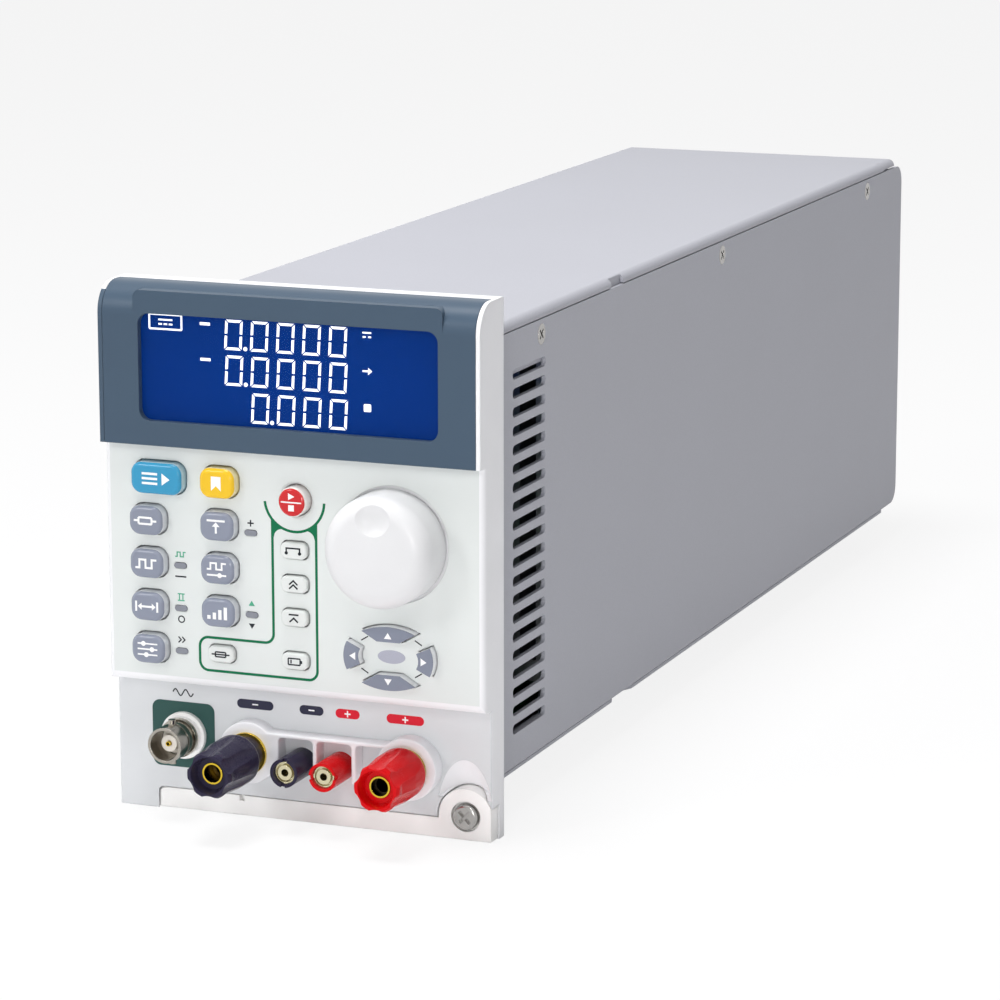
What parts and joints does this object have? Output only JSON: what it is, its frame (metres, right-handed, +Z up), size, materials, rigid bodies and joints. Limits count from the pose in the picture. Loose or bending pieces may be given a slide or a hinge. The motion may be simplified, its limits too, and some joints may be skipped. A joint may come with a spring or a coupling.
{
  "type": "dc electronic load",
  "caption": "Plug-in DC electronic load: white front with display, keys, jog knob, binding posts, sense and coaxial sockets and extraction lever, on a long sheet-metal case.",
  "frame": {"origin": "under the middle of the whole object, on the plane of the front frame's lower edge", "axes": "+X to the right seen from the front, +Y from the front to the rear connector, +Z up"},
  "size_m": [0.108, 0.4284, 0.1435],
  "materials": {
    "frame_white": "satin moulded",
    "bezel_slate": "satin moulded",
    "window_glass": "clear tinted",
    "lcd_blue": "smooth",
    "board_green": "solder mask",
    "dark_plastic": "moulded",
    "key_blue": "gloss",
    "key_yellow": "gloss",
    "key_grey": "gloss",
    "key_red": "gloss",
    "key_white": "gloss",
    "lens_grey": "clear",
    "steel": "turned",
    "nickel": "plated",
    "dielectric": "matte",
    "gold": "plated",
    "post_navy": "gloss",
    "post_red": "gloss",
    "case_paint": "fine satin",
    "heatsink_alu": "extruded"
  },
  "bodies": {
    "chassis": {"front_frame": "frame_white", "terminal_shroud": "frame_white", "bnc_flange": "frame_white", "display_bezel": "bezel_slate", "display_window": "window_glass", "lcd_module": "lcd_blue", "control_board": "board_green", "power_board": "board_green", "tact_switches": "dark_plastic", "encoder_body": "dark_plastic", "power_transistors": "dark_plastic", "rear_connector": "dark_plastic", "fan_frame": "dark_plastic", "led_lenses": "lens_grey", "lever_pin": "steel", "bnc_shell": "nickel", "sense_contacts": "nickel", "case_screws": "nickel", "bnc_dielectric": "dielectric", "bnc_contact": "gold", "load_studs": "gold", "load_washers": "gold", "neg_collar": "post_navy", "sense_neg_sleeve": "post_navy", "pos_collar": "post_red", "sense_pos_sleeve": "post_red", "right_panel": "case_paint", "left_panel": "case_paint", "top_cover": "case_paint", "bottom_plate": "case_paint", "rear_panel": "case_paint", "heatsink": "heatsink_alu"},
    "mode_key": {"mode_key": "key_blue"},
    "preset_key": {"preset_key": "key_yellow"},
    "load_key": {"load_key": "key_grey"},
    "dynamic_key": {"dynamic_key": "key_grey"},
    "range_key": {"range_key": "key_grey"},
    "config_key": {"config_key": "key_grey"},
    "limit_key": {"limit_key": "key_grey"},
    "dynamic_setting_key": {"dynamic_setting_key": "key_grey"},
    "level_key": {"level_key": "key_grey"},
    "start_stop_key": {"start_stop_key": "key_red"},
    "short_key": {"short_key": "key_white"},
    "opp_key": {"opp_key": "key_white"},
    "ocp_key": {"ocp_key": "key_white"},
    "bms_key": {"bms_key": "key_white"},
    "fuse_key": {"fuse_key": "key_white"},
    "up_key": {"up_key": "key_grey"},
    "down_key": {"down_key": "key_grey"},
    "left_key": {"left_key": "key_grey"},
    "right_key": {"right_key": "key_grey"},
    "knob_turn": {"knob": "key_white", "encoder_shaft": "steel"},
    "neg_insert_slide": {"neg_insert": "gold"},
    "neg_cap_turn": {"neg_cap": "post_navy"},
    "pos_insert_slide": {"pos_insert": "gold"},
    "pos_cap_turn": {"pos_cap": "post_red"},
    "fan_rotor": {"fan_rotor": "dark_plastic"},
    "lever": {"extraction_lever": "frame_white"},
    "captive_screw": {"captive_screw": "nickel"}
  },
  "joints": [
    {"name": "mode_key_press", "type": "slide", "parent": "chassis", "child": "mode_key", "axis": [0, 1, 0], "range_m": [0, 0.0005], "stiffness_N_per_m": 1200},
    {"name": "preset_key_press", "type": "slide", "parent": "chassis", "child": "preset_key", "axis": [0, 1, 0], "range_m": [0, 0.0005], "stiffness_N_per_m": 1200},
    {"name": "load_key_press", "type": "slide", "parent": "chassis", "child": "load_key", "axis": [0, 1, 0], "range_m": [0, 0.0005], "stiffness_N_per_m": 1200},
    {"name": "dynamic_key_press", "type": "slide", "parent": "chassis", "child": "dynamic_key", "axis": [0, 1, 0], "range_m": [0, 0.0005], "stiffness_N_per_m": 1200},
    {"name": "range_key_press", "type": "slide", "parent": "chassis", "child": "range_key", "axis": [0, 1, 0], "range_m": [0, 0.0005], "stiffness_N_per_m": 1200},
    {"name": "config_key_press", "type": "slide", "parent": "chassis", "child": "config_key", "axis": [0, 1, 0], "range_m": [0, 0.0005], "stiffness_N_per_m": 1200},
    {"name": "limit_key_press", "type": "slide", "parent": "chassis", "child": "limit_key", "axis": [0, 1, 0], "range_m": [0, 0.0005], "stiffness_N_per_m": 1200},
    {"name": "dynamic_setting_key_press", "type": "slide", "parent": "chassis", "child": "dynamic_setting_key", "axis": [0, 1, 0], "range_m": [0, 0.0005], "stiffness_N_per_m": 1200},
    {"name": "level_key_press", "type": "slide", "parent": "chassis", "child": "level_key", "axis": [0, 1, 0], "range_m": [0, 0.0005], "stiffness_N_per_m": 1200},
    {"name": "start_stop_key_press", "type": "slide", "parent": "chassis", "child": "start_stop_key", "axis": [0, 1, 0], "range_m": [0, 0.0005], "stiffness_N_per_m": 1200},
    {"name": "short_key_press", "type": "slide", "parent": "chassis", "child": "short_key", "axis": [0, 1, 0], "range_m": [0, 0.0005], "stiffness_N_per_m": 1200},
    {"name": "opp_key_press", "type": "slide", "parent": "chassis", "child": "opp_key", "axis": [0, 1, 0], "range_m": [0, 0.0005], "stiffness_N_per_m": 1200},
    {"name": "ocp_key_press", "type": "slide", "parent": "chassis", "child": "ocp_key", "axis": [0, 1, 0], "range_m": [0, 0.0005], "stiffness_N_per_m": 1200},
    {"name": "bms_key_press", "type": "slide", "parent": "chassis", "child": "bms_key", "axis": [0, 1, 0], "range_m": [0, 0.0005], "stiffness_N_per_m": 1200},
    {"name": "fuse_key_press", "type": "slide", "parent": "chassis", "child": "fuse_key", "axis": [0, 1, 0], "range_m": [0, 0.0005], "stiffness_N_per_m": 1200},
    {"name": "up_key_press", "type": "slide", "parent": "chassis", "child": "up_key", "axis": [0, 1, 0], "range_m": [0, 0.0005], "stiffness_N_per_m": 1200},
    {"name": "down_key_press", "type": "slide", "parent": "chassis", "child": "down_key", "axis": [0, 1, 0], "range_m": [0, 0.0005], "stiffness_N_per_m": 1200},
    {"name": "left_key_press", "type": "slide", "parent": "chassis", "child": "left_key", "axis": [0, 1, 0], "range_m": [0, 0.0005], "stiffness_N_per_m": 1200},
    {"name": "right_key_press", "type": "slide", "parent": "chassis", "child": "right_key", "axis": [0, 1, 0], "range_m": [0, 0.0005], "stiffness_N_per_m": 1200},
    {"name": "knob_spin", "type": "hinge", "parent": "chassis", "child": "knob_turn", "pos_m": [0.0285, -0.18993, 0.0791], "axis": [0, -1, 0], "continuous": true},
    {"name": "neg_insert_lift", "type": "slide", "parent": "chassis", "child": "neg_insert_slide", "axis": [0, -1, 0], "range_m": [-0.004, 0.002]},
    {"name": "neg_cap_unscrew", "type": "hinge", "parent": "neg_insert_slide", "child": "neg_cap_turn", "pos_m": [-0.0138, -0.20622, 0.0192], "axis": [0, -1, 0], "range_deg": [-1440, 720]},
    {"name": "pos_insert_lift", "type": "slide", "parent": "chassis", "child": "pos_insert_slide", "axis": [0, -1, 0], "range_m": [0, 0.006]},
    {"name": "pos_cap_unscrew", "type": "hinge", "parent": "pos_insert_slide", "child": "pos_cap_turn", "pos_m": [0.0318, -0.20622, 0.0192], "axis": [0, -1, 0], "range_deg": [0, 2160]},
    {"name": "fan_spin", "type": "hinge", "parent": "chassis", "child": "fan_rotor", "pos_m": [0, 0.18677, 0.084], "axis": [0, 1, 0], "continuous": true},
    {"name": "lever_swing", "type": "hinge", "parent": "chassis", "child": "lever", "pos_m": [-0.03979, -0.18222, 0.003], "axis": [0, 0, -1], "range_deg": [0, 75]},
    {"name": "captive_screw_turn", "type": "hinge", "parent": "lever", "child": "captive_screw", "pos_m": [0.0465, -0.18463, 0.0066], "axis": [0, -1, 0], "continuous": true}
  ],
  "couplings": [
    {"joint": "neg_cap_unscrew", "follows": "neg_insert_lift", "rad_per_m": 6283.2},
    {"joint": "pos_cap_unscrew", "follows": "pos_insert_lift", "rad_per_m": 6283.2}
  ]
}
